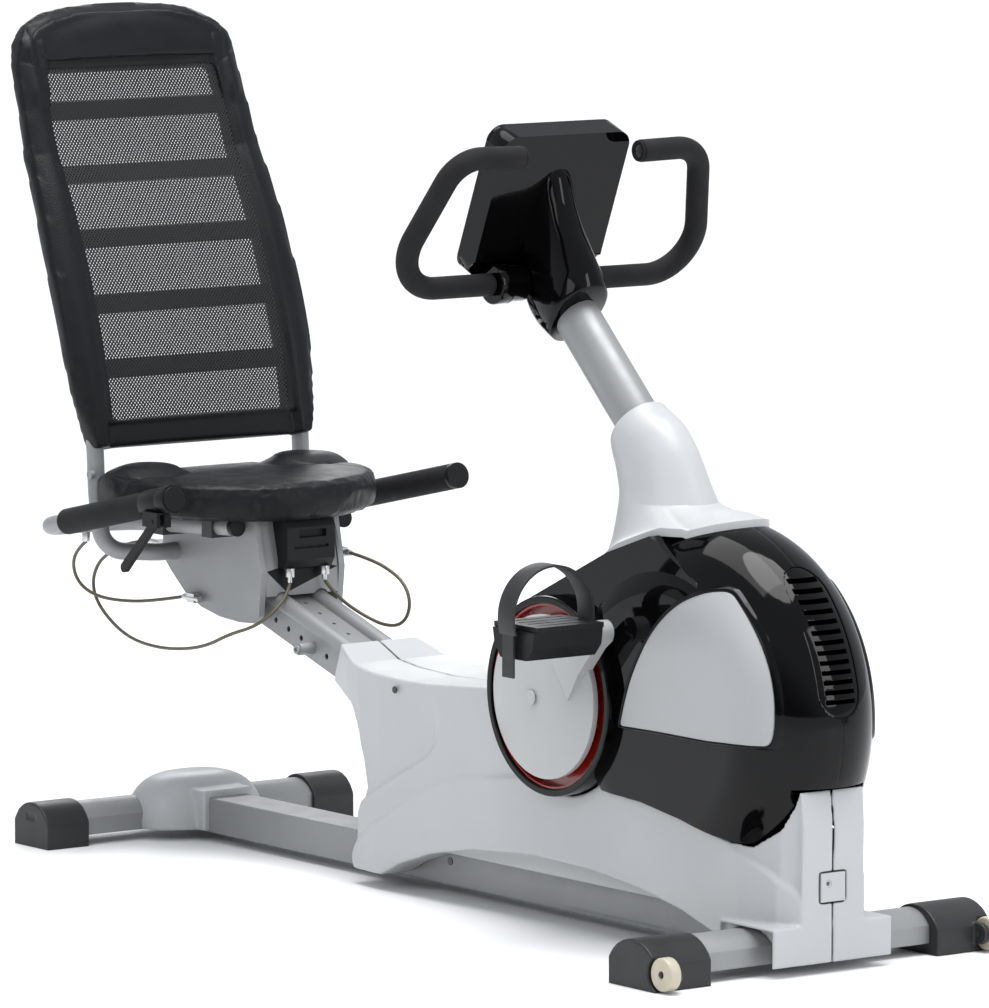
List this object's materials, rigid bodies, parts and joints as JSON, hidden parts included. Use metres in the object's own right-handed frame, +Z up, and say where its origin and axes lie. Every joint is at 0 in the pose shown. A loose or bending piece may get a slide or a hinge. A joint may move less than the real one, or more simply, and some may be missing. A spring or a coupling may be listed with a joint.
{
  "type": "recumbent exercise bike",
  "caption": "Recumbent exercise bike with a sliding reclining mesh-back seat, side grips, crank and pedals, round flywheel housing, mast with console and loop handlebar.",
  "frame": {"origin": "on the floor under the centre of the overall bounding box", "axes": "+X the way the rider faces, +Y the rider's left, +Z up"},
  "size_m": [1.6902, 0.5816, 1.1883],
  "materials": {
    "frame_steel": "satin silver-grey powder coat",
    "inner_steel": "black enamel",
    "machined_steel": "brushed",
    "cast_metal": "turned rim, painted web",
    "shell_plastic": "light warm grey, fine spark texture",
    "gloss_plastic": "glossy black",
    "panel_plastic": "satin light grey",
    "red_plastic": "glossy dark red",
    "dark_plastic": "charcoal texture",
    "disc_plastic": "satin light grey",
    "black_rubber": "matt",
    "foam": "closed-cell foam",
    "roller_plastic": "cream nylon",
    "leatherette": "charcoal, fine grain",
    "mesh_fabric": "open knit",
    "cable_sheath": "grey sheath",
    "screen": "dark display window",
    "board": "green laminate"
  },
  "bodies": {
    "frame": {"main_beam": "frame_steel", "stabiliser_tubes": "frame_steel", "foot_caps": "dark_plastic", "tail_cover": "shell_plastic", "body_shell_right": "shell_plastic", "body_shell_left": "shell_plastic", "housing_right": "gloss_plastic", "housing_left": "gloss_plastic", "inset_panels": "panel_plastic", "vent_grille": "dark_plastic", "crank_rings": "gloss_plastic", "crank_dishes": "red_plastic", "mast_covers": "shell_plastic", "mast_tube": "frame_steel", "neck_cover": "gloss_plastic", "handlebar_clamps": "gloss_plastic", "seat_rail": "frame_steel", "inner_frame": "inner_steel", "bearings": "machined_steel", "brake_servo_motor": "dark_plastic", "circuit_boards": "board", "power_inlet": "dark_plastic", "console_back": "dark_plastic", "console_bezel": "gloss_plastic", "console_window": "screen", "drive_belt": "black_rubber"},
    "flywheel": {"flywheel": "cast_metal"},
    "crank": {"crank_axle": "machined_steel", "crank_right": "disc_plastic", "crank_left": "disc_plastic", "crank_fittings": "machined_steel"},
    "pedal_right": {"pedal_right": "dark_plastic", "pedal_strap_right": "black_rubber"},
    "pedal_left": {"pedal_left": "dark_plastic", "pedal_strap_left": "black_rubber"},
    "transport_wheel_right": {"transport_wheel_right": "roller_plastic"},
    "transport_wheel_left": {"transport_wheel_left": "roller_plastic"},
    "carriage": {"carriage_plates": "frame_steel", "carriage_cover": "dark_plastic", "cable_fittings": "machined_steel", "seat_pan": "inner_steel", "seat_cushion": "leatherette", "seat_handles": "frame_steel", "seat_grips": "foam", "seat_handle_caps": "dark_plastic", "lever_clamp": "dark_plastic", "lever_cable": "cable_sheath", "recline_cable": "cable_sheath", "brake_cable": "cable_sheath"},
    "release_lever": {"release_lever": "dark_plastic"},
    "backrest": {"backrest_frame": "frame_steel", "backrest_border": "leatherette", "head_pad": "leatherette", "backrest_mesh": "mesh_fabric", "support_bands": "dark_plastic"},
    "handlebar": {"handlebar_tube": "frame_steel", "handlebar_grips": "foam"},
    "key_left": {"key_left": "black_rubber"},
    "key_right": {"key_right": "black_rubber"},
    "brake_magnet_arm": {"brake_magnet_arm": "inner_steel"}
  },
  "joints": [
    {"name": "seat_slide", "type": "slide", "parent": "frame", "child": "carriage", "axis": [0.9537, 0, -0.3007], "range_m": [-0.045, 0.078]},
    {"name": "backrest_recline", "type": "hinge", "parent": "carriage", "child": "backrest", "pos_m": [-0.569, 0, 0.418], "axis": [0, -1, 0], "range_deg": [0, 15]},
    {"name": "release_lever_pivot", "type": "hinge", "parent": "carriage", "child": "release_lever", "pos_m": [-0.349, -0.255, 0.494], "axis": [0, 1, 0], "range_deg": [0, 18], "stiffness_Nm_per_rad": 0.8, "springref_deg": -6.88},
    {"name": "flywheel_spin", "type": "hinge", "parent": "frame", "child": "flywheel", "pos_m": [0.59, 0, 0.32], "axis": [0, 1, 0], "continuous": true},
    {"name": "crank_spin", "type": "hinge", "parent": "frame", "child": "crank", "pos_m": [0.368, 0, 0.32], "axis": [0, 1, 0], "continuous": true},
    {"name": "pedal_right_spin", "type": "hinge", "parent": "crank", "child": "pedal_right", "pos_m": [0.504, -0.22, 0.422], "axis": [0, 1, 0], "continuous": true},
    {"name": "pedal_left_spin", "type": "hinge", "parent": "crank", "child": "pedal_left", "pos_m": [0.232, 0.22, 0.218], "axis": [0, 1, 0], "continuous": true},
    {"name": "transport_wheel_right_spin", "type": "hinge", "parent": "frame", "child": "transport_wheel_right", "pos_m": [0.821, -0.27, 0.025], "axis": [0, 1, 0], "continuous": true},
    {"name": "transport_wheel_left_spin", "type": "hinge", "parent": "frame", "child": "transport_wheel_left", "pos_m": [0.821, 0.27, 0.025], "axis": [0, 1, 0], "continuous": true},
    {"name": "handlebar_tilt", "type": "hinge", "parent": "frame", "child": "handlebar", "pos_m": [0.195, 0, 0.855], "axis": [0, 1, 0], "range_deg": [-2, 20]},
    {"name": "key_left_press", "type": "slide", "parent": "frame", "child": "key_left", "axis": [0.9252, 0, -0.3795], "range_m": [0, 0.0014], "stiffness_N_per_m": 600, "springref_m": -0.0005},
    {"name": "key_right_press", "type": "slide", "parent": "frame", "child": "key_right", "axis": [0.9252, 0, -0.3795], "range_m": [0, 0.0014], "stiffness_N_per_m": 600, "springref_m": -0.0005},
    {"name": "brake_magnet_swing", "type": "hinge", "parent": "frame", "child": "brake_magnet_arm", "pos_m": [0.61, 0, 0.13], "axis": [0, 1, 0], "range_deg": [0, 10]}
  ],
  "couplings": [
    {"joint": "crank_spin", "follows": "flywheel_spin", "ratio": 0.2556}
  ]
}
